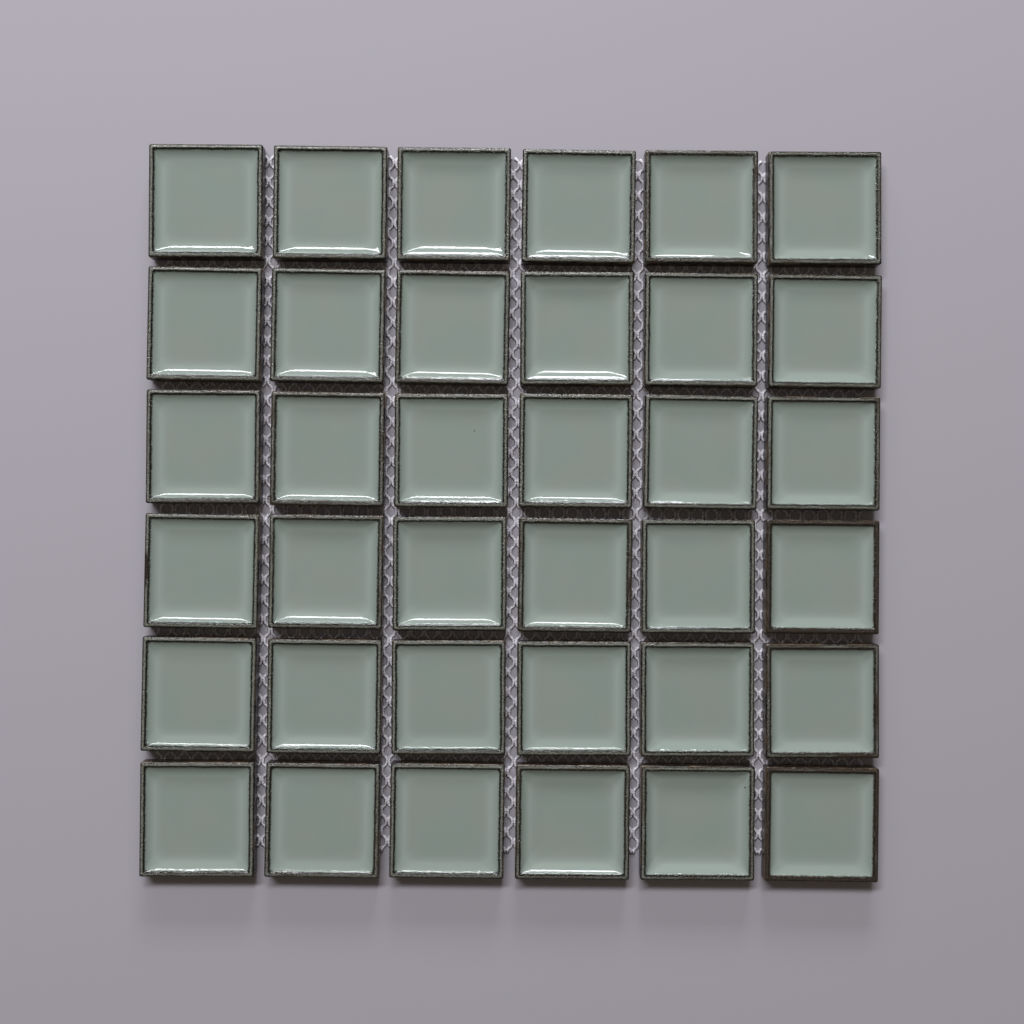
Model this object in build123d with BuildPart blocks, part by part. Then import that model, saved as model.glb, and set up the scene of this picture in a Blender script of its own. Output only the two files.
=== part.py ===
"""A 6 x 6 sheet of dished, glazed ceramic mosaic tiles, hand laid on a knitted backing net.

Millimetres. The sheet lies flat with its faces up: origin at the middle of its underside,
+Z up, row 1 at +Y, column 1 at -X.
"""

import os
import random

from build123d import *

# Sheet
rows = 6
columns = 6
joint_across = 4.2  # open width between two columns
joint_down = 3.8  # open width between two rows, laid a little tighter
tile_side = 45.0
tile_thickness = 6.0

# Pressed body
corner_ease = 0.5  # flat on each upright corner
arris = 0.5  # worn edge round the face
foot_bevel = 0.4  # edge round the back, where the press let it go

# Glaze face: a flat raised rim, a short lip, then an arc that runs out into a level pool
rim_width = 1.4
lip_width = 0.6
lip_drop = 0.2
dish_width = 5.3  # from the lip to the pool
dish_drop = 1.6
rim_corner = 0.9  # how far the rim's inner corner is cut back along each side
lip_corner = 1.1
pool_corner = 2.6

# Keyed back: grooves that hold the adhesive
groove_count = 4
groove_width = 4.5
groove_depth = 0.6
groove_margin = 5.0  # plain land round the grooves

# Backing net, and how unevenly the tiles are laid on it
net_thickness = 0.8
net_inset_sides = 3.0
net_inset_top = 0.5
net_inset_bottom = 8.0
lay_shift = 0.3  # most that a tile is off its place
lay_turn = 0.45  # most that a tile is turned, in degrees
lay_seed = 11

column_pitch = tile_side + joint_across
row_pitch = tile_side + joint_down
sheet_width = columns * column_pitch - joint_across
sheet_length = rows * row_pitch - joint_down


def make_dish():
    """The hollow of the glaze face, where two pairs of round-sided troughs cross.

    One pair runs along the tile's sides and one along its diagonals. The diagonal pair
    is wider and shallower, so the pool's corners are rounder than the rim's.
    """
    rim_half = tile_side / 2 - rim_width
    lip_half = rim_half - lip_width
    pool_half = lip_half - dish_width
    along_sides = (rim_half, lip_half, pool_half)

    diagonal = 2**0.5
    corners = (rim_corner, lip_corner, pool_corner)
    along_diagonals = [half * diagonal - cut / diagonal for half, cut in zip(along_sides, corners)]

    lip_height = tile_thickness - lip_drop
    pool_height = lip_height - dish_drop
    troughs = ((0, along_sides), (90, along_sides), (45, along_diagonals), (135, along_diagonals))
    with BuildPart() as dish:
        for turn, (rim_edge, lip_edge, pool_edge) in troughs:
            with BuildSketch(Plane.XZ.rotated((0, 0, turn))):
                with BuildLine():
                    Polyline((0, tile_thickness), (rim_edge, tile_thickness), (lip_edge, lip_height))
                    TangentArc((pool_edge, pool_height), (lip_edge, lip_height), tangent=(1, 0))
                    Line((pool_edge, pool_height), (0, pool_height))
                    mirror(about=Plane.YZ)
                make_face()
            mode = Mode.INTERSECT if turn else Mode.ADD
            extrude(amount=tile_side, both=True, mode=mode)
    return dish.part


def make_tile():
    """One pressed and glazed tile, standing on z = 0 about its own middle."""
    dish = make_dish()
    groove_length = tile_side - 2 * groove_margin
    groove_pitch = (groove_length - groove_width) / (groove_count - 1)
    with BuildPart() as tile:
        with BuildSketch():
            Rectangle(tile_side, tile_side)
            chamfer(vertices(), corner_ease)
        extrude(amount=tile_thickness)
        chamfer(faces().sort_by(Axis.Z)[-1].edges(), arris)
        chamfer(faces().sort_by(Axis.Z)[0].edges(), foot_bevel)
        add(dish, mode=Mode.SUBTRACT)
        with BuildSketch():
            with GridLocations(groove_pitch, 1, groove_count, 1):
                Rectangle(groove_width, groove_length)
        extrude(amount=groove_depth, mode=Mode.SUBTRACT)
    return tile.part


def make_net():
    """The net as one thin sheet, set in from the outer tiles' edges."""
    width = sheet_width - 2 * net_inset_sides
    length = sheet_length - net_inset_top - net_inset_bottom
    with BuildPart() as net:
        with BuildSketch():
            with Locations((0, (net_inset_bottom - net_inset_top) / 2)):
                Rectangle(width, length)
        extrude(amount=net_thickness)
    return net.part


def laid_places():
    """Row, column and place of each tile, a little off its grid as a hand leaves it."""
    hand = random.Random(lay_seed)
    for row in range(rows):
        for column in range(columns):
            x = (column - (columns - 1) / 2) * column_pitch + hand.uniform(-lay_shift, lay_shift)
            y = ((rows - 1) / 2 - row) * row_pitch + hand.uniform(-lay_shift, lay_shift)
            turn = hand.uniform(-lay_turn, lay_turn)
            yield row + 1, column + 1, Location((x, y, net_thickness), (0, 0, turn))


os.makedirs("parts", exist_ok=True)

net = make_net()
net.label = "backing_net"
export_step(net, "parts/backing_net.step")

pattern_tile = make_tile()
tiles = []
for row, column, place in laid_places():
    tile = pattern_tile.moved(place)
    tile.label = f"tile_r{row}_c{column}"
    export_step(tile, f"parts/{tile.label}.step")
    tiles.append(tile)
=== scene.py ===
import math
import random

import bpy
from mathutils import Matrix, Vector, noise
from mathutils.geometry import tessellate_polygon


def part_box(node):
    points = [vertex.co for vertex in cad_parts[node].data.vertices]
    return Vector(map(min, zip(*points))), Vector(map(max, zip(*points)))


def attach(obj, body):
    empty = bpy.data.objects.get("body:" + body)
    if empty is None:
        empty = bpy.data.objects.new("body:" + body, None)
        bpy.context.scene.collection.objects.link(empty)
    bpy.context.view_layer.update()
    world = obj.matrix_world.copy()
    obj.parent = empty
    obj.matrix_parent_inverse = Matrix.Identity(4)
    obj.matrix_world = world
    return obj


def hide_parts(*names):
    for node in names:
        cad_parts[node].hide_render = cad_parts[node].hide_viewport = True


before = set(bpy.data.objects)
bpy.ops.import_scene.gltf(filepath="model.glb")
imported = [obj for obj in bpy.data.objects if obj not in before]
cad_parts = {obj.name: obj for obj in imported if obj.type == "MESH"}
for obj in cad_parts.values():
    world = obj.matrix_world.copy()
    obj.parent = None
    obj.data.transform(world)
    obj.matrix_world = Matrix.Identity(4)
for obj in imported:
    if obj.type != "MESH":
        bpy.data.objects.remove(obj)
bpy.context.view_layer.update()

# A 6 x 6 sheet of glazed stoneware mosaic tiles on a knitted net, seen from straight above.
# Sizes in the dictionaries are millimetres; vertices are made in metres.
mm = 0.001
netLow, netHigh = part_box("backing_net")

scene = bpy.context.scene
scene.view_settings.view_transform = "Standard"


def toLinear(hexColour):
    channels = [int(hexColour[i:i + 2], 16) / 255 for i in (1, 3, 5)]
    return [c / 12.92 if c <= 0.04045 else ((c + 0.055) / 1.055) ** 2.4 for c in channels] + [1.0]


def smoothStep(low, high, value):
    share = min(max((value - low) / (high - low), 0.0), 1.0)
    return share * share * (3 - 2 * share)


def wander(x, y, size, seed):
    # soft noise from -1 to 1 whose bumps are about size across
    return noise.noise(Vector((x / size, y / size, seed * 7.31)))


placeStep = 0.1  # each tile reads its own part of the patterns, this much further along x


def tileNumber(row, column):
    return (row - 1) * 6 + column


# Camera: straight down, a little off the middle, turned and tipped as a hand holds it
camera = {
    "place": (-3.65, -4.5, 431.8),
    "lens": 37.82,
    "turn": (0.615, -0.432, 0.589),  # degrees about x, y and z
}


def placeCamera():
    data = bpy.data.cameras.new("photoCamera")
    data.lens = camera["lens"]
    data.sensor_width = 36
    data.clip_start = 0.01
    cameraObject = bpy.data.objects.new("photoCamera", data)
    scene.collection.objects.link(cameraObject)
    cameraObject.location = Vector(camera["place"]) * mm
    cameraObject.rotation_euler = [math.radians(angle) for angle in camera["turn"]]
    scene.camera = cameraObject
    print("camera placed")


placeCamera()

# Windows stand to the north: a wide high one and, below it, a bright narrow one and a dim one. In
# the hollow of each glaze the high one mirrors as a thin arch, the low ones as bands nearer the rim.
windowDistance = 2600
windowLights = [
    {"name": "highWindow", "elevation": 49, "tall": 7, "bearing": -18.5, "halfWidth": 30, "radiance": 29.0},
    {"name": "lowWindow", "elevation": 15, "tall": 10, "bearing": 2.5, "halfWidth": 9.5, "radiance": 33.0},
    {"name": "dimWindow", "elevation": 15, "tall": 8, "bearing": -20, "halfWidth": 12, "radiance": 8.0},
]
windowTint = "#fbfaff"
skyLight = {"colour": "#ffeed6", "strength": 0.12}


def placeLights():
    distance = windowDistance * mm
    for light in windowLights:
        bearing, elevation = math.radians(light["bearing"]), math.radians(light["elevation"])
        direction = Vector((
            math.sin(bearing) * math.cos(elevation),
            math.cos(bearing) * math.cos(elevation),
            math.sin(elevation),
        ))
        data = bpy.data.lights.new(light["name"], "AREA")
        data.shape = "RECTANGLE"
        data.size = 2 * distance * math.cos(elevation) * math.tan(math.radians(light["halfWidth"]))
        data.size_y = 2 * distance * math.tan(math.radians(light["tall"] / 2))
        data.color = toLinear(windowTint)[:3]
        data.energy = light["radiance"] * math.pi * data.size * data.size_y
        lamp = bpy.data.objects.new(light["name"], data)
        scene.collection.objects.link(lamp)
        lamp.location = direction * distance
        lamp.rotation_euler = direction.to_track_quat("Z", "Y").to_euler()
    world = bpy.data.worlds.new("dimRoom")
    scene.world = world
    world.use_nodes = True
    background = world.node_tree.nodes["Background"]
    background.inputs["Color"].default_value = toLinear(skyLight["colour"])
    background.inputs["Strength"].default_value = skyLight["strength"]
    print("lights placed")


placeLights()


def addNode(tree, kind, inputs=None, **settings):
    # inputs: socket name or number to a value, or to the output socket that feeds it
    node = tree.nodes.new(kind)
    for name, value in settings.items():
        setattr(node, name, value)
    for name, value in (inputs or {}).items():
        if isinstance(value, bpy.types.NodeSocket):
            tree.links.new(value, node.inputs[name])
        else:
            node.inputs[name].default_value = value
    return node


def newMaterial(name):
    material = bpy.data.materials.new(name)
    material.use_nodes = True
    tree = material.node_tree
    return material, tree, tree.nodes["Principled BSDF"]


# Glazed stoneware: an iron-rich clay, dust pressed, with a celadon glaze flooded on the face and
# fired to a glassy pool. The eye gets a grey-green mirror that breaks to olive and brown-black
# where the melt ran thin over the rim, and a dark dry clay on the walls.
glazeLook = {
    "rampReach": 10.0,  # distance in from the tile's edge that the ramp covers
    "stops": [  # distance from the edge, colour
        (0.0, "#0f0d0b"),
        (0.3, "#1c1a17"),
        (0.6, "#565850"),
        (0.8, "#777a71"),
        (1.25, "#777a71"),
        (1.45, "#4b4c45"),
        (1.63, "#1b1a17"),
        (1.93, "#1c1c19"),
        (2.15, "#545d57"),
        (2.42, "#87938c"),
        (3.7, "#8f9c95"),
        (5.6, "#99a69f"),
        (7.5, "#949f99"),
        (9.8, "#8e9a93"),
    ],
    "wall": "#2a211b",
    # paler beige on the arris: part wear, part painted highlight of the rolled edge
    "wornAndHighlitEdge": "#7a654b",
    "brownRim": "#2f241c",
    "greenPool": "#8b9a92",
    "warmPool": "#909992",
    "pit": "#23241f",
    "beadSize": 0.75,
    "driftSize": 5.0,  # the glaze line also drifts, over this length
    "lineBreak": 0.3,  # most that the glaze line is off its place
    "poolPatch": 16.0,
    "thinPatch": 9.0,
    "speckSize": 0.5,  # about twice as coarse as real specks, which would be too fine to show
    "grainSize": 0.35,
    "poolBand": (4.5, 10.0),  # each band gives the distances from the edge where a look begins and is full
    "rimBand": (2.6, 2.0),
    "beadBand": (2.9, 2.2),
    "glossBand": (1.9, 2.5),
    "wornAndHighlitBand": (0.35, 0.1),
    "wallBand": (-0.25, -0.7),
    "poolShare": 0.9,
    "thinShare": 0.85,
    "wornAndHighlitShare": 0.6,
    "speckShade": (0.4, 1.45),  # darkest speck and palest grain
    "relief": 0.12,
    "pooledRoughness": 0.05,
    "rimRoughness": 0.15,
    "wallRoughness": 0.22,
    "glazeIor": 1.43,
}
pits = [  # pinholes in the glaze, in mm from the middle of the tile's face
    {"tile": (3, 3), "x": 9.0, "y": 8.0, "size": 0.32},
    {"tile": (6, 5), "x": 18.8, "y": 14.0, "size": 0.38},
]


def glazedStoneware():
    look = glazeLook
    material, tree, shader = newMaterial("glazedStoneware")
    edge = addNode(tree, "ShaderNodeAttribute", attribute_name="edge").outputs["Fac"]
    place = addNode(tree, "ShaderNodeAttribute", attribute_name="place").outputs["Vector"]
    tone = addNode(tree, "ShaderNodeAttribute", attribute_name="tone").outputs["Fac"]
    bare = addNode(tree, "ShaderNodeAttribute", attribute_name="bare").outputs["Fac"]

    # the glaze line is broken into dots, so its distance from the edge wavers at bead size
    fine = addNode(tree, "ShaderNodeTexNoise", {
        "Vector": place, "Scale": 1 / (look["beadSize"] * mm), "Detail": 1.5, "Roughness": 0.5,
    }).outputs["Fac"]
    drift = addNode(tree, "ShaderNodeTexNoise", {
        "Vector": place, "Scale": 1 / (look["driftSize"] * mm), "Detail": 1.0,
    }).outputs["Fac"]
    fineShift = addNode(tree, "ShaderNodeMath", {0: fine, 1: -0.5}, operation="ADD").outputs[0]
    driftShift = addNode(tree, "ShaderNodeMath", {0: drift, 1: -0.5}, operation="ADD").outputs[0]
    wavered = addNode(tree, "ShaderNodeMath", {
        0: fineShift, 1: look["lineBreak"] * 2, 2: edge,
    }, operation="MULTIPLY_ADD").outputs[0]
    wavered = addNode(tree, "ShaderNodeMath", {
        0: driftShift, 1: look["lineBreak"], 2: wavered,
    }, operation="MULTIPLY_ADD").outputs[0]
    along = addNode(tree, "ShaderNodeMath", {
        0: wavered, 1: look["rampReach"],
    }, operation="DIVIDE").outputs[0]
    ramp = addNode(tree, "ShaderNodeValToRGB", {"Fac": along})
    elements = ramp.color_ramp.elements
    while len(elements) < len(look["stops"]):
        elements.new(1.0)
    for element, (distance, colour) in zip(elements, look["stops"]):
        element.position = distance / look["rampReach"]
        element.color = toLinear(colour)

    # the pool: slow green and warm grey clouds
    clouds = addNode(tree, "ShaderNodeTexNoise", {
        "Vector": place, "Scale": 1 / (look["poolPatch"] * mm), "Detail": 2.0, "Roughness": 0.45,
    }).outputs["Fac"]
    cloudShare = addNode(tree, "ShaderNodeMapRange", {0: clouds, 1: 0.35, 2: 0.65}).outputs[0]
    pool = addNode(tree, "ShaderNodeMix", {
        "Factor": cloudShare, "A": toLinear(look["greenPool"]), "B": toLinear(look["warmPool"]),
    }, data_type="RGBA").outputs["Result"]
    near, far = look["poolBand"]
    inPool = addNode(tree, "ShaderNodeMapRange", {
        0: edge, 1: near, 2: far, 4: look["poolShare"],
    }, interpolation_type="SMOOTHSTEP").outputs[0]
    glaze = addNode(tree, "ShaderNodeMix", {
        "Factor": inPool, "A": ramp.outputs["Color"], "B": pool,
    }, data_type="RGBA").outputs["Result"]

    # brown where the melt ran thin over the rim, more on some tiles than others
    inner, outer = look["rimBand"]
    onRim = addNode(tree, "ShaderNodeMapRange", {0: wavered, 1: inner, 2: outer, 3: 0.0, 4: 1.0}).outputs[0]
    patches = addNode(tree, "ShaderNodeTexNoise", {
        "Vector": place, "Scale": 1 / (look["thinPatch"] * mm), "Detail": 3.0,
    }).outputs["Fac"]
    thin = addNode(tree, "ShaderNodeMath", {0: patches, 1: tone}, operation="ADD").outputs[0]
    thin = addNode(tree, "ShaderNodeMapRange", {0: thin, 1: 0.75, 2: 1.2, 4: look["thinShare"]}).outputs[0]
    thin = addNode(tree, "ShaderNodeMath", {0: thin, 1: onRim}, operation="MULTIPLY").outputs[0]
    glaze = addNode(tree, "ShaderNodeMix", {
        "Factor": thin, "A": glaze, "B": toLinear(look["brownRim"]),
    }, data_type="RGBA").outputs["Result"]

    # dark specks and paler grains in the thin melt of the rim
    specks = addNode(tree, "ShaderNodeTexNoise", {
        "Vector": place, "Scale": 1 / (look["speckSize"] * mm), "Detail": 2.0,
    }).outputs["Fac"]
    dark, pale = look["speckShade"]
    speckShade = addNode(tree, "ShaderNodeMapRange", {
        0: specks, 1: 0.36, 2: 0.66, 3: dark, 4: pale,
    }).outputs[0]
    glaze = addNode(tree, "ShaderNodeMix", {
        "Factor": onRim, "A": glaze, "B": speckShade,
    }, data_type="RGBA", blend_type="MULTIPLY").outputs["Result"]

    # paler arris, part real wear and part painted highlight standing in for the rolled edge catching the
    # window light; and the dry clay wall
    inner, outer = look["wornAndHighlitBand"]
    wornAndHighlit = addNode(tree, "ShaderNodeMapRange", {
        0: edge, 1: inner, 2: outer, 3: 0.0, 4: look["wornAndHighlitShare"],
    }).outputs[0]
    wornAndHighlitPatch = addNode(tree, "ShaderNodeMapRange", {0: patches, 1: 0.44, 2: 0.6}).outputs[0]
    wornAndHighlit = addNode(tree, "ShaderNodeMath", {0: wornAndHighlit, 1: wornAndHighlitPatch}, operation="MULTIPLY").outputs[0]
    glaze = addNode(tree, "ShaderNodeMix", {
        "Factor": wornAndHighlit, "A": glaze, "B": toLinear(look["wornAndHighlitEdge"]),
    }, data_type="RGBA").outputs["Result"]
    upper, lower = look["wallBand"]
    onWall = addNode(tree, "ShaderNodeMapRange", {0: edge, 1: upper, 2: lower, 3: 0.0, 4: 1.0}).outputs[0]
    dry = addNode(tree, "ShaderNodeMath", {0: onWall, 1: bare}, operation="MAXIMUM").outputs[0]
    colour = addNode(tree, "ShaderNodeMix", {
        "Factor": dry, "A": glaze, "B": toLinear(look["wall"]),
    }, data_type="RGBA").outputs["Result"]

    # pinholes, each on its own tile
    flatPlace = addNode(tree, "ShaderNodeVectorMath", {
        0: place, 1: (1, 1, 0),
    }, operation="MULTIPLY").outputs[0]
    for pit in pits:
        size = pit["size"] * mm
        at = (pit["x"] * mm + tileNumber(*pit["tile"]) * placeStep, pit["y"] * mm, 0)
        away = addNode(tree, "ShaderNodeVectorMath", {
            0: flatPlace, 1: at,
        }, operation="DISTANCE").outputs["Value"]
        inPit = addNode(tree, "ShaderNodeMapRange", {
            0: away, 1: size, 2: size * 0.5, 3: 0.0, 4: 1.0,
        }).outputs[0]
        colour = addNode(tree, "ShaderNodeMix", {
            "Factor": inPit, "A": colour, "B": toLinear(look["pit"]),
        }, data_type="RGBA").outputs["Result"]
    tree.links.new(colour, shader.inputs["Base Color"])

    # glassy in the pool, satin on the rim, dry on the wall
    outer, inner = look["glossBand"]
    gloss = addNode(tree, "ShaderNodeMapRange", {
        0: wavered, 1: outer, 2: inner, 3: look["rimRoughness"], 4: look["pooledRoughness"],
    }).outputs[0]
    rough = addNode(tree, "ShaderNodeMix", {
        "Factor": dry, "A": gloss, "B": look["wallRoughness"],
    }, data_type="FLOAT").outputs["Result"]
    tree.links.new(rough, shader.inputs["Roughness"])
    shader.inputs["IOR"].default_value = look["glazeIor"]

    # beads of melt where the glaze meets the rim, and the grain of dry clay on the wall
    inner, outer = look["beadBand"]
    beadBand = addNode(tree, "ShaderNodeMapRange", {0: edge, 1: inner, 2: outer, 3: 0.0, 4: 1.0}).outputs[0]
    beads = addNode(tree, "ShaderNodeMapRange", {0: fine, 1: 0.5, 2: 0.66}).outputs[0]
    beads = addNode(tree, "ShaderNodeMath", {0: beads, 1: beadBand}, operation="MULTIPLY").outputs[0]
    grain = addNode(tree, "ShaderNodeTexNoise", {
        "Vector": place, "Scale": 1 / (look["grainSize"] * mm), "Detail": 3.0,
    }).outputs["Fac"]
    grain = addNode(tree, "ShaderNodeMath", {0: grain, 1: dry}, operation="MULTIPLY").outputs[0]
    height = addNode(tree, "ShaderNodeMath", {0: beads, 1: grain}, operation="ADD").outputs[0]
    bump = addNode(tree, "ShaderNodeBump", {
        "Height": height, "Distance": look["relief"] * mm, "Strength": 0.8,
    })
    tree.links.new(bump.outputs["Normal"], shader.inputs["Normal"])
    print("glaze mixed")
    return material


# Knitted polyester: spun white thread, warp knitted into an open hexagonal net and heat set. The
# eye gets a matt off-white cord with the small steps of its chain stitches.
threadLook = {
    "thread": "#f2eff6",
    "shade": "#c0bdc5",
    "stitch": 1.1,
    "strandSize": 0.7,  # coarser than the real filaments, which are too fine to show
    "stitchShare": 0.35,
    "relief": 0.1,
    "roughness": 0.85,
    "sheen": 0.2,
}


def knittedPolyester():
    look = threadLook
    material, tree, shader = newMaterial("knittedPolyester")
    along = addNode(tree, "ShaderNodeAttribute", attribute_name="along").outputs["Fac"]
    place = addNode(tree, "ShaderNodeAttribute", attribute_name="place").outputs["Vector"]
    turns = addNode(tree, "ShaderNodeMath", {
        0: along, 1: 2 * math.pi / look["stitch"],
    }, operation="MULTIPLY").outputs[0]
    stitches = addNode(tree, "ShaderNodeMath", {0: turns}, operation="SINE").outputs[0]
    fuzz = addNode(tree, "ShaderNodeTexNoise", {
        "Vector": place, "Scale": 1 / (look["strandSize"] * mm), "Detail": 2.0,
    }).outputs["Fac"]
    strands = addNode(tree, "ShaderNodeMapRange", {0: fuzz, 1: 0.35, 2: 0.65}).outputs[0]
    colour = addNode(tree, "ShaderNodeMix", {
        "Factor": strands, "A": toLinear(look["shade"]), "B": toLinear(look["thread"]),
    }, data_type="RGBA").outputs["Result"]
    tree.links.new(colour, shader.inputs["Base Color"])
    shader.inputs["Roughness"].default_value = look["roughness"]
    shader.inputs["Sheen Weight"].default_value = look["sheen"]
    height = addNode(tree, "ShaderNodeMath", {
        0: stitches, 1: look["stitchShare"], 2: fuzz,
    }, operation="MULTIPLY_ADD").outputs[0]
    bump = addNode(tree, "ShaderNodeBump", {
        "Height": height, "Distance": look["relief"] * mm, "Strength": 0.6,
    })
    tree.links.new(bump.outputs["Normal"], shader.inputs["Normal"])
    print("thread spun")
    return material


def meshObject(name, vertices, faces, material, attributes, smooth=True):
    mesh = bpy.data.meshes.new(name)
    mesh.from_pydata(vertices, [], faces)
    for attributeName, kind, values in attributes:
        attribute = mesh.attributes.new(attributeName, kind, "POINT")
        attribute.data.foreach_set("vector" if kind == "FLOAT_VECTOR" else "value", values)
    mesh.polygons.foreach_set("use_smooth", [smooth] * len(mesh.polygons))
    mesh.materials.append(material)
    mesh.update()
    piece = bpy.data.objects.new(name, mesh)
    scene.collection.objects.link(piece)
    return piece


# One tile. Rings run round the tile from the back's edge up the wall, over the rim and into the
# pool; each ring is a square with round corners.
tile = {
    "side": 45.0,
    "thickness": 6.0,
    "cornerRadius": 0.8,
    "footBevel": 0.4,
    "rimEnd": 1.35,  # distances in from the side: the rim is one round roll as far as this
    "rollDepth": 0.6,
    "lipEnd": 2.0,
    "lipSlope": 37.0,  # degrees, and from there the melt levels out as a meniscus does
    "meltLength": 2.92,  # over which its slope falls to a third
    "meltPower": 1.25,
    "poolEdge": 12.0,
    "rimCornerRadius": 0.7,
    "poolCornerRadius": 5.0,
    "cornerOpening": 3.0,  # over which the corners open out
    "perSide": 28,  # steps along a straight side
    "perCorner": 6,  # steps round a corner
    "wallHeights": (0.4, 2.1, 3.8, 5.1),
    "rollSteps": 9,
    "lipSteps": 5,
    "dishSteps": 28,
    "poolRings": (14.5, 17.0, 19.5, 21.5),
    "grooves": 4,
    "grooveWidth": 4.5,
    "grooveDepth": 0.6,
    "grooveMargin": 5.0,
}
hand = {  # how far one tile differs from the next
    "rimWave": 0.1,
    "rimWaveSize": 5.0,
    "wallWave": 0.07,
    "wallWaveSize": 6.0,
    "poolWave": 0.008,
    "poolWaveSize": 9.0,
    "reachVary": 0.15,
    "tiltVary": 0.2,  # degrees
    "toneVary": 0.5,
    "lastColumnTone": 0.35,  # the last column's rims are browner
}
meltReach = {  # tiles whose melt ran further out or less far, in mm
    (1, 1): -1.0, (1, 2): -0.65, (1, 3): 0.35, (1, 5): 0.3, (2, 1): -0.55, (2, 4): 1.0, (2, 5): -0.3,
    (3, 1): -0.6, (4, 2): 0.85, (4, 3): 0.9, (4, 5): -0.3, (5, 1): -0.55, (5, 3): -0.95, (5, 4): -0.2,
    (5, 5): 0.5, (6, 2): -0.95, (6, 3): -0.7, (6, 4): 0.85, (6, 5): 1.1,
}


def roundedSquare(half, radius):
    radius = min(radius, half * 0.98)
    points = []
    for quarter in range(4):
        signX = 1 if quarter in (0, 3) else -1
        signY = 1 if quarter in (0, 1) else -1
        centreX, centreY = signX * (half - radius), signY * (half - radius)
        for step in range(tile["perCorner"] + 1):
            angle = (quarter + step / tile["perCorner"]) * math.pi / 2
            points.append((centreX + radius * math.cos(angle), centreY + radius * math.sin(angle)))
        stepX, stepY = -math.sin(angle), math.cos(angle)
        run = 2 * (half - radius) / tile["perSide"]
        startX, startY = points[-1]
        for step in range(1, tile["perSide"]):
            points.append((startX + stepX * run * step, startY + stepY * run * step))
    return points


def tileProfile(reach):
    # rings as (distance in from the side, height, corner radius, reading of the edge attribute)
    top, bevel, corner = tile["thickness"], tile["footBevel"], tile["cornerRadius"]
    rollDepth, rimEnd = tile["rollDepth"], tile["rimEnd"]
    rings = [(bevel, 0.0, corner, -top), (bevel * 0.3, bevel * 0.3, corner, -top)]
    rings += [(0.0, height, corner, height - top + rollDepth) for height in tile["wallHeights"]]
    for step in range(tile["rollSteps"] + 1):
        angle = math.pi / 2 * step / tile["rollSteps"]
        inset = rimEnd * (1 - math.cos(angle))
        rings.append((inset, top - rollDepth * (1 - math.sin(angle)), corner, inset))

    # the lip bends down to its steepest, and the melt runs out from there
    lipEnd = tile["lipEnd"] + 0.6 * max(reach, -0.5)
    meltLength = tile["meltLength"] + 0.6 * reach
    span = tile["poolEdge"] - lipEnd
    lipShares = [(step + 1) / tile["lipSteps"] for step in range(tile["lipSteps"])]
    dishShares = [(step + 1) / tile["dishSteps"] for step in range(tile["dishSteps"])]
    insets = [rimEnd + (lipEnd - rimEnd) * share for share in lipShares]
    insets += [lipEnd + span * share ** 1.5 for share in dishShares]
    steepest = math.radians(tile["lipSlope"])
    height, before = top, rimEnd
    for inset in insets:
        middle = (before + inset) / 2
        if middle < lipEnd:
            slope = steepest * (middle - rimEnd) / (lipEnd - rimEnd)
        else:
            slope = steepest * math.exp(-((middle - lipEnd) / meltLength) ** tile["meltPower"])
        height -= (inset - before) * math.tan(slope)
        opened = 1 - math.exp(-max(0.0, inset - lipEnd) / tile["cornerOpening"])
        radius = tile["rimCornerRadius"] + (tile["poolCornerRadius"] - tile["rimCornerRadius"]) * opened
        rings.append((inset, height, radius, inset))
        before = inset
    rings += [(inset, height, tile["poolCornerRadius"], inset) for inset in tile["poolRings"]]
    return rings, height


def grooveOutlines():
    length = tile["side"] - 2 * tile["grooveMargin"]
    pitch = (length - tile["grooveWidth"]) / (tile["grooves"] - 1)
    halfWidth, halfLength = tile["grooveWidth"] / 2, length / 2
    for groove in range(tile["grooves"]):
        middle = (groove - (tile["grooves"] - 1) / 2) * pitch
        yield [(middle - halfWidth, -halfLength), (middle + halfWidth, -halfLength),
               (middle + halfWidth, halfLength), (middle - halfWidth, halfLength)]


def tileTurn(node):
    # A square's walls repeat every quarter turn, so the sum of four times their bearing gives its turn
    across = along = 0.0
    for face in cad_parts[node].data.polygons:
        if abs(face.normal.z) < 0.1:
            bearing = 4 * math.atan2(face.normal.y, face.normal.x)
            across += face.area * math.cos(bearing)
            along += face.area * math.sin(bearing)
    return math.atan2(along, across) / 4


# Bare marks on single tiles: where, how large (mm, from the tile's middle), and the tile
bareMarks = [
    {"tile": (4, 1), "x": -22.0, "y": 0.6, "halfX": 1.6, "halfY": 7.5},
    {"tile": (1, 6), "x": -22.0, "y": -7.6, "halfX": 0.9, "halfY": 1.0},
]


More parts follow.
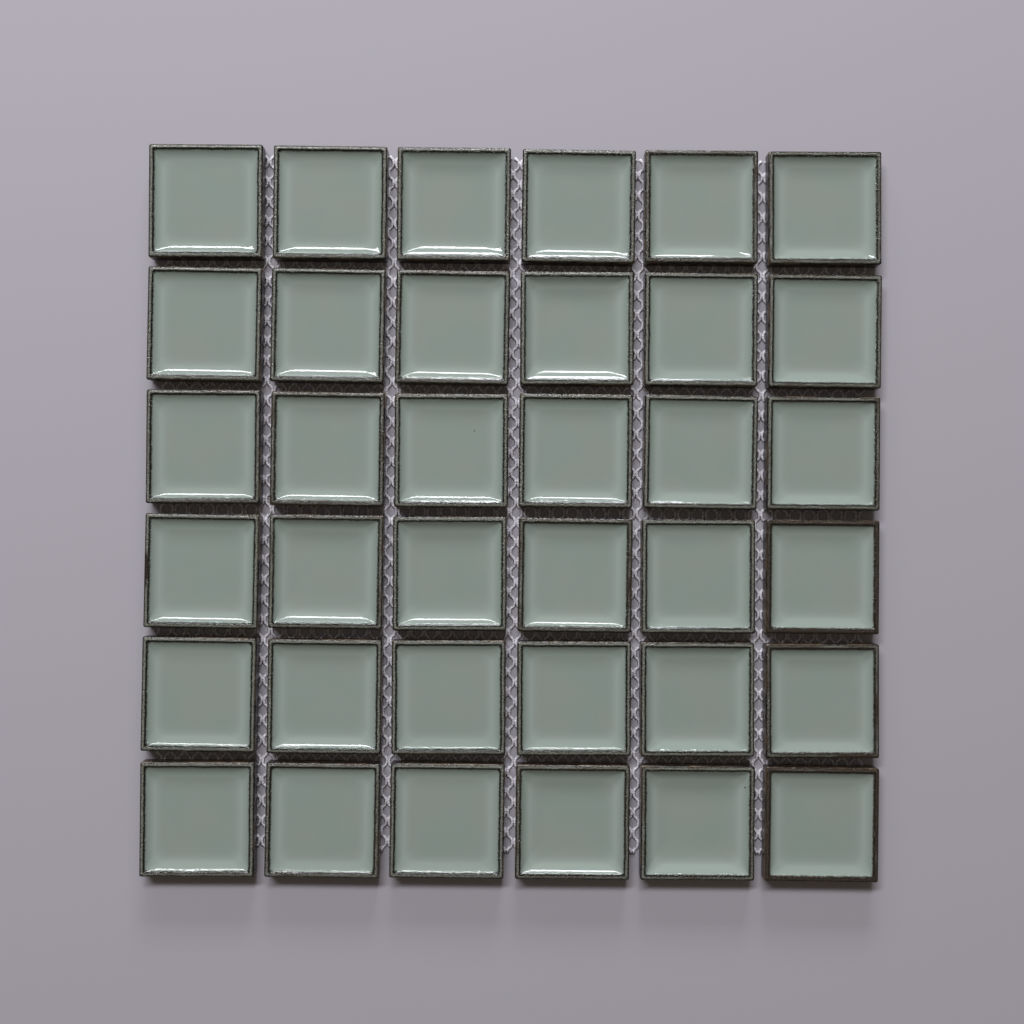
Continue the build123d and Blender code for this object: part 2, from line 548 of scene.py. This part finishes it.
def makeTile(row, column, material):
    node = f"tile_r{row}_c{column}"
    index = tileNumber(row, column)
    draw = random.Random(index)
    vary = draw.uniform(-hand["reachVary"], hand["reachVary"])
    rings, floorHeight = tileProfile(meltReach.get((row, column), vary))
    tiltX, tiltY = (math.tan(math.radians(draw.uniform(-hand["tiltVary"], hand["tiltVary"]))) for _ in "xy")
    rimTone = draw.random() ** 2 * hand["toneVary"] + (hand["lastColumnTone"] if column == 6 else 0.0)
    marks = [mark for mark in bareMarks if mark["tile"] == (row, column)]

    points, edges, bares = [], [], []
    for inset, height, radius, reading in rings:
        # how much of this ring is rim, dish and wall
        onRim = smoothStep(0.3, 1.3, reading) * (1 - smoothStep(2.0, 3.0, reading))
        inDish = smoothStep(1.6, 3.0, reading)
        onWall = 1 - smoothStep(-0.5, 0.2, reading)
        for x, y in roundedSquare(tile["side"] / 2 - inset, radius):
            size = max(abs(x), abs(y))
            wave = onRim * hand["rimWave"] * wander(x, y, hand["rimWaveSize"], index)
            wave += onWall * hand["wallWave"] * wander(x, y + height * 2, hand["wallWaveSize"], index + 50)
            grow = 1 - wave / size
            poolWave = hand["poolWave"] * wander(x, y, hand["poolWaveSize"], index + 90)
            lift = inDish * (tiltX * x + tiltY * y + poolWave)
            points.append((x * grow, y * grow, height + lift))
            edges.append(reading)
            bare = 0.0
            for mark in marks:
                away = math.hypot((x - mark["x"]) / mark["halfX"], (y - mark["y"]) / mark["halfY"])
                away += 0.35 * wander(x, y, 1.8, index)
                bare = max(bare, 1 - smoothStep(0.75, 1.05, away))
            bares.append(bare)
    perRing = 4 * (tile["perSide"] + tile["perCorner"])
    faces = []
    for ring in range(len(rings) - 1):
        for step in range(perRing):
            following = (step + 1) % perRing
            faces.append((ring * perRing + step, ring * perRing + following,
                          (ring + 1) * perRing + following, (ring + 1) * perRing + step))
    centre = len(points)
    points.append((0, 0, floorHeight))
    edges.append(tile["side"] / 2)
    bares.append(0.0)
    last = (len(rings) - 1) * perRing
    faces += [(last + step, last + (step + 1) % perRing, centre) for step in range(perRing)]

    # keyed back: the land round the grooves, then each groove's walls and floor
    outlines = [[(x, y, 0.0) for x, y in outline] for outline in grooveOutlines()]
    starts = []
    for outline in outlines:
        starts.append(len(points))
        points += outline + [(x, y, tile["grooveDepth"]) for x, y, z in outline]
        edges += [-tile["thickness"]] * 8
        bares += [0.0] * 8
    backRing = list(range(perRing))
    loops = [[Vector(points[i]) for i in backRing]] + [[Vector(p) for p in outline] for outline in outlines]
    order = backRing + [start + i for start in starts for i in range(4)]
    flatFrom = len(faces)
    faces += [tuple(order[i] for i in reversed(corner)) for corner in tessellate_polygon(loops)]
    for start in starts:
        roof = start + 4
        for i in range(4):
            following = (i + 1) % 4
            faces.append((start + i, start + following, roof + following, roof + i))
        faces.append((roof + 3, roof + 2, roof + 1, roof))

    low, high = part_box(node)
    middle = (low + high) / 2
    turn = tileTurn(node)
    cosine, sine = math.cos(turn), math.sin(turn)
    vertices = []
    for x, y, z in points:
        worldX = middle.x + (x * cosine - y * sine) * mm
        worldY = middle.y + (x * sine + y * cosine) * mm
        vertices.append((worldX, worldY, low.z + z * mm))
    places = [value for x, y, z in points for value in (x * mm + index * placeStep, y * mm, z * mm)]
    piece = meshObject(f"glazed_{node}", vertices, faces, material, [
        ("edge", "FLOAT", edges),
        ("bare", "FLOAT", bares),
        ("tone", "FLOAT", [rimTone] * len(points)),
        ("place", "FLOAT_VECTOR", places),
    ])
    for face in piece.data.polygons[flatFrom:]:
        face.use_smooth = False
    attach(piece, "root")
    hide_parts(node)


glazeMaterial = glazedStoneware()
for row in range(1, 7):
    for column in range(1, 7):
        makeTile(row, column, glazeMaterial)
    print("tiles laid, row", row)

# The net: wales of thread swing side by side and touch at upright stems, which leaves
# rounded hexagonal cells
net = {
    "waleWidth": 2.8,  # half a cell
    "cellLength": 8.0,
    "stemLength": 2.6,
    "threadWidth": 1.5,
    "slantThickness": 0.26,
    "stemThickness": 0.62,
    "cornerSwing": 0.86,  # share of the swing where a slant meets its stem
    "wanderReach": 14.0,
    "wander": 0.35,
}


def netPath(wale, lowX, lowY, length):
    # one period: half a stem, slant, stem, slant and half a stem; the neighbours mirror it
    side = 1 if wale % 2 else -1
    swing = net["waleWidth"] / 2 - net["threadWidth"] * 0.35
    half, quarter, corner = net["cellLength"] / 2, net["cellLength"] / 4, net["cornerSwing"]
    stem = net["stemLength"] / 2
    steps = [(0.0, 1, True), (stem, corner, True), (quarter, 0, False), (half - stem, -corner, True),
             (half, -1, True), (half + stem, -corner, True), (half + quarter, 0, False),
             (2 * half - stem, corner, True)]
    middle = lowX + (wale + 0.5) * net["waleWidth"]
    path = []
    period = 0
    while True:
        for along, swingSide, onStem in steps:
            y = period * net["cellLength"] + along
            if y > length:
                return path
            x = middle + side * swingSide * swing
            worldY = lowY + y
            shiftX = net["wander"] * wander(x, worldY, net["wanderReach"], 3)
            shiftY = net["wander"] * wander(x, worldY, net["wanderReach"], 4)
            path.append((x + shiftX, worldY + shiftY, onStem))
        period += 1


def makeNet(material):
    lowX, lowY, lowZ = (value / mm for value in netLow)
    width, length = (netHigh.x - netLow.x) / mm, (netHigh.y - netLow.y) / mm
    wales = int(width / net["waleWidth"])
    start = lowX + (width - wales * net["waleWidth"]) / 2
    vertices, faces, alongs, places = [], [], [], []
    for wale in range(wales):
        path = netPath(wale, start, lowY + net["wander"], length - 2 * net["wander"])
        along = 0.0
        first = len(vertices)
        for i, (x, y, onStem) in enumerate(path):
            before, after = path[max(i - 1, 0)], path[min(i + 1, len(path) - 1)]
            direction = Vector((after[0] - before[0], after[1] - before[1])).normalized()
            sideways = Vector((-direction.y, direction.x)) * net["threadWidth"] / 2
            thick = net["stemThickness"] if onStem else net["slantThickness"]
            if i:
                step = math.hypot(x - path[i - 1][0], y - path[i - 1][1])
                along += step
            for acrossX, acrossY, z in ((sideways.x, sideways.y, lowZ), (0, 0, lowZ + thick),
                                        (-sideways.x, -sideways.y, lowZ)):
                vertices.append(((x + acrossX) * mm, (y + acrossY) * mm, z * mm))
                alongs.append(along)
                places += [x * mm, y * mm, z * mm]
        for i in range(len(path) - 1):
            for corner in range(3):
                following = (corner + 1) % 3
                faces.append((first + i * 3 + following, first + i * 3 + corner,
                              first + i * 3 + 3 + corner, first + i * 3 + 3 + following))
        faces.append((first, first + 1, first + 2))
        end = first + (len(path) - 1) * 3
        faces.append((end + 2, end + 1, end))
    piece = meshObject("knitted_net", vertices, faces, material, [
        ("along", "FLOAT", alongs),
        ("place", "FLOAT_VECTOR", places),
    ])
    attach(piece, "root")
    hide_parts("backing_net")


makeNet(knittedPolyester())

# A plain matt floor
floorLook = {"colour": "#aba8b0", "roughness": 0.75, "half": 3000, "below": 0.02}


def makeFloor():
    material, tree, shader = newMaterial("mattFloor")
    shader.inputs["Base Color"].default_value = toLinear(floorLook["colour"])
    shader.inputs["Roughness"].default_value = floorLook["roughness"]
    half, z = floorLook["half"] * mm, -floorLook["below"] * mm
    corners = [(-half, -half, z), (half, -half, z), (half, half, z), (-half, half, z)]
    meshObject("floor", corners, [(0, 1, 2, 3)], material, [], smooth=False)
    print("floor laid")


makeFloor()
